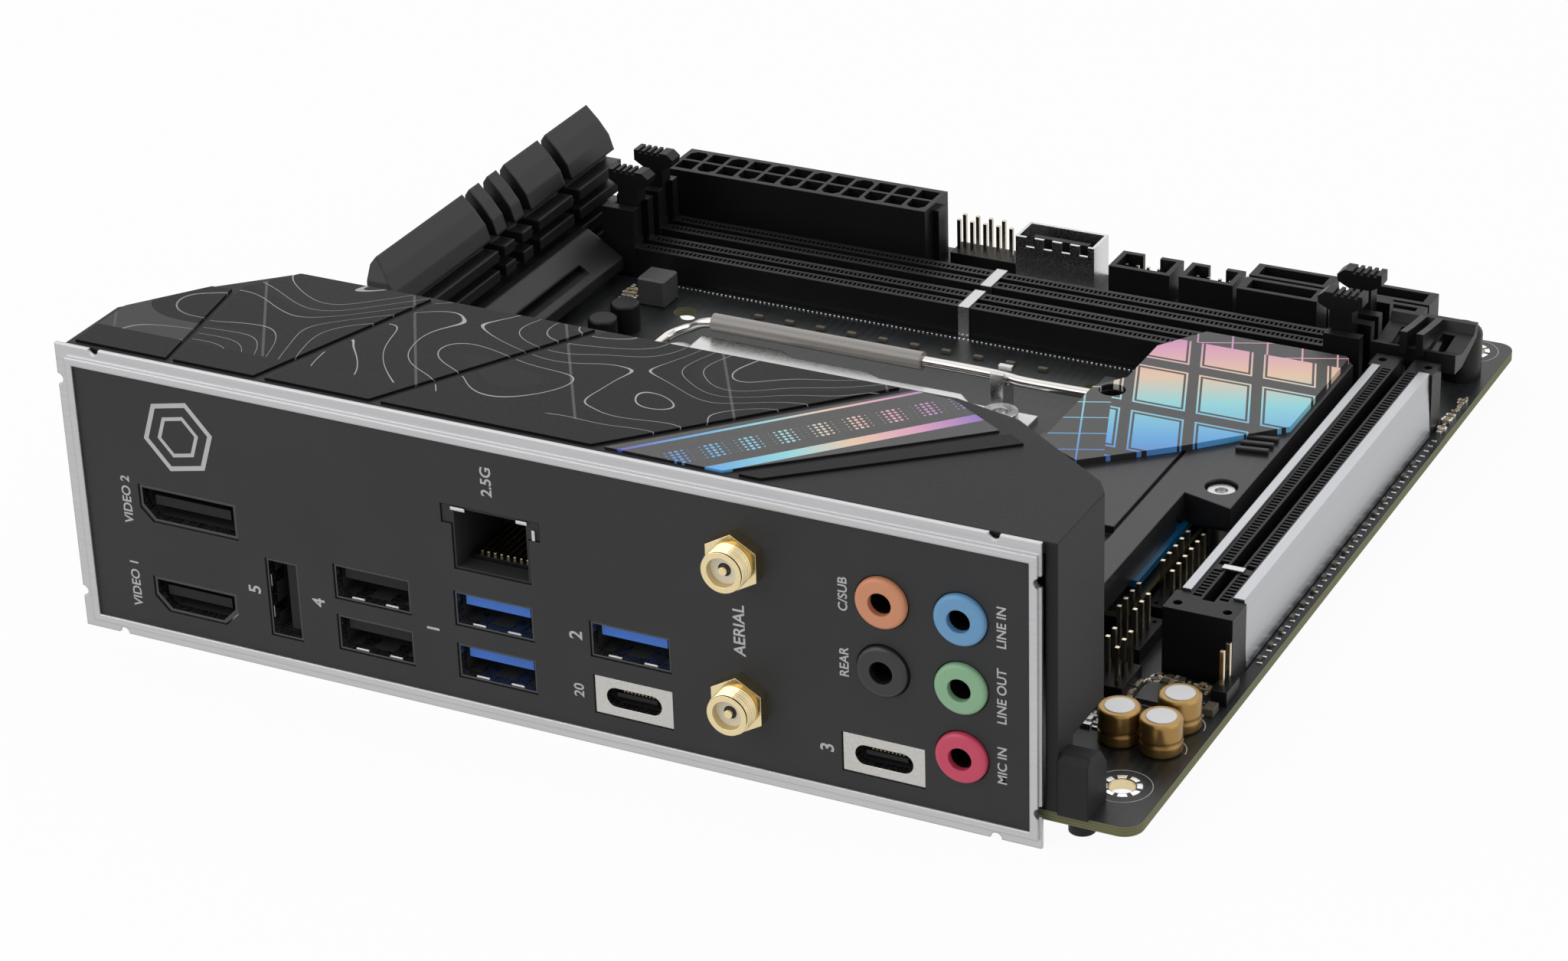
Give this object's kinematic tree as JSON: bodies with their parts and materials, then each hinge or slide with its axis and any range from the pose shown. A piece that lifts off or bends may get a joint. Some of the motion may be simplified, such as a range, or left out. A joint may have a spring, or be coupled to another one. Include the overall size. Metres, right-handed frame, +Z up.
{
  "type": "computer main board",
  "caption": "Small square computer main board with rear port shield, port cover, finned heatsinks, processor socket, memory and graphics slots, latches and cable headers.",
  "frame": {"origin": "centre of the square board outline, on the underside that lies on the standoffs", "axes": "+X along the rear edge (left to right seen from behind), +Y from the rear edge to the front edge, +Z up from the component side"},
  "size_m": [0.1753, 0.177, 0.0486],
  "materials": {
    "board": "satin black solder mask",
    "shield": "bright sheet",
    "black_metal": "fine matt black",
    "black_plastic": "moulded black",
    "port_metal": "plated sheet",
    "blue_plastic": "blue moulding",
    "gold": "gold plated",
    "white_plastic": "pale insulator",
    "printed": "printed panel",
    "grey_print": "grey printed panel",
    "steel": "plated",
    "spring_steel": "bright wire",
    "sleeve": "translucent grey tube",
    "choke": "grey cube",
    "pad": "soft pad",
    "film": "blue film",
    "chip": "chip package",
    "gold_can": "gold sleeve",
    "small": "chip parts",
    "aluminium": "brushed slot shell",
    "dark_aluminium": "black anodised",
    "tin": "solder",
    "r_orange": "ring",
    "r_black": "ring",
    "r_blue": "ring",
    "r_green": "ring",
    "r_pink": "ring"
  },
  "bodies": {
    "board": {"aerial_insulators": "white_plastic", "aerial_nuts": "gold", "aerial_sockets": "gold", "audio_capacitors": "gold_can", "audio_jack_housing": "black_plastic", "chips": "chip", "chokes": "choke", "circuit_board": "board", "connector_pins": "gold", "cover_clip_post": "black_plastic", "cover_panel_corner": "grey_print", "cover_panels": "printed", "cover_strip_panel": "printed", "drive_sockets": "black_plastic", "front_port_shell": "port_metal", "gold_contacts": "gold", "graphics_shell": "aluminium", "graphics_slot": "black_plastic", "header_housings": "black_plastic", "io_cover": "black_plastic", "io_face_plate": "black_metal", "io_shield_flange": "shield", "jack_ring_black": "r_black", "jack_ring_blue": "r_blue", "jack_ring_green": "r_green", "jack_ring_orange": "r_orange", "jack_ring_pink": "r_pink", "key_clips": "steel", "lan_usb_housing": "port_metal", "memory_slots": "black_plastic", "port_tongues": "black_plastic", "power_sockets": "black_plastic", "processor_socket": "black_plastic", "rear_heatsink": "dark_aluminium", "round_capacitors": "black_plastic", "screws": "steel", "side_heatsink": "dark_aluminium", "small_parts": "small", "socket_load_frame": "steel", "solder_tails": "tin", "stiffening_plate": "steel", "storage_carrier": "board", "storage_connector": "black_plastic", "storage_cover_plate": "printed", "storage_heatsink": "dark_aluminium", "storage_pad": "film", "storage_posts": "steel", "thermal_pads": "pad", "usb_blue_tongues": "blue_plastic", "usb_housings": "port_metal", "video_port_housing": "port_metal", "wireless_module": "port_metal"},
    "lever": {"load_lever": "spring_steel", "lever_sleeve": "sleeve"},
    "plate": {"load_plate": "steel"},
    "latch_1_left": {"memory_latch_1_left": "black_plastic"},
    "latch_1_right": {"memory_latch_1_right": "black_plastic"},
    "latch_2_left": {"memory_latch_2_left": "black_plastic"},
    "latch_2_right": {"memory_latch_2_right": "black_plastic"},
    "card_latch": {"graphics_latch": "black_plastic"}
  },
  "joints": [
    {"name": "lever_hinge", "type": "hinge", "parent": "board", "child": "lever", "pos_m": [-0.048, 0, 0.0042], "axis": [0, -1, 0], "range_deg": [0, 110]},
    {"name": "plate_hinge", "type": "hinge", "parent": "board", "child": "plate", "pos_m": [-0.048, 0, 0.0042], "axis": [0, -1, 0], "range_deg": [0, 100]},
    {"name": "latch_1_left_hinge", "type": "hinge", "parent": "board", "child": "latch_1_left", "pos_m": [-0.0694, 0.0547, 0.0048], "axis": [0, -1, 0], "range_deg": [0, 15]},
    {"name": "latch_1_right_hinge", "type": "hinge", "parent": "board", "child": "latch_1_right", "pos_m": [0.0644, 0.0547, 0.0048], "axis": [0, 1, 0], "range_deg": [0, 15]},
    {"name": "latch_2_left_hinge", "type": "hinge", "parent": "board", "child": "latch_2_left", "pos_m": [-0.0694, 0.0641, 0.0048], "axis": [0, -1, 0], "range_deg": [0, 15]},
    {"name": "latch_2_right_hinge", "type": "hinge", "parent": "board", "child": "latch_2_right", "pos_m": [0.0644, 0.0641, 0.0048], "axis": [0, 1, 0], "range_deg": [0, 15]},
    {"name": "card_latch_hinge", "type": "hinge", "parent": "board", "child": "card_latch", "pos_m": [0.07725, 0.0537, 0.0048], "axis": [-1, 0, 0], "range_deg": [0, 15]}
  ],
  "couplings": [
    {"joint": "plate_hinge", "follows": "lever_hinge", "ratio": 0.9}
  ]
}
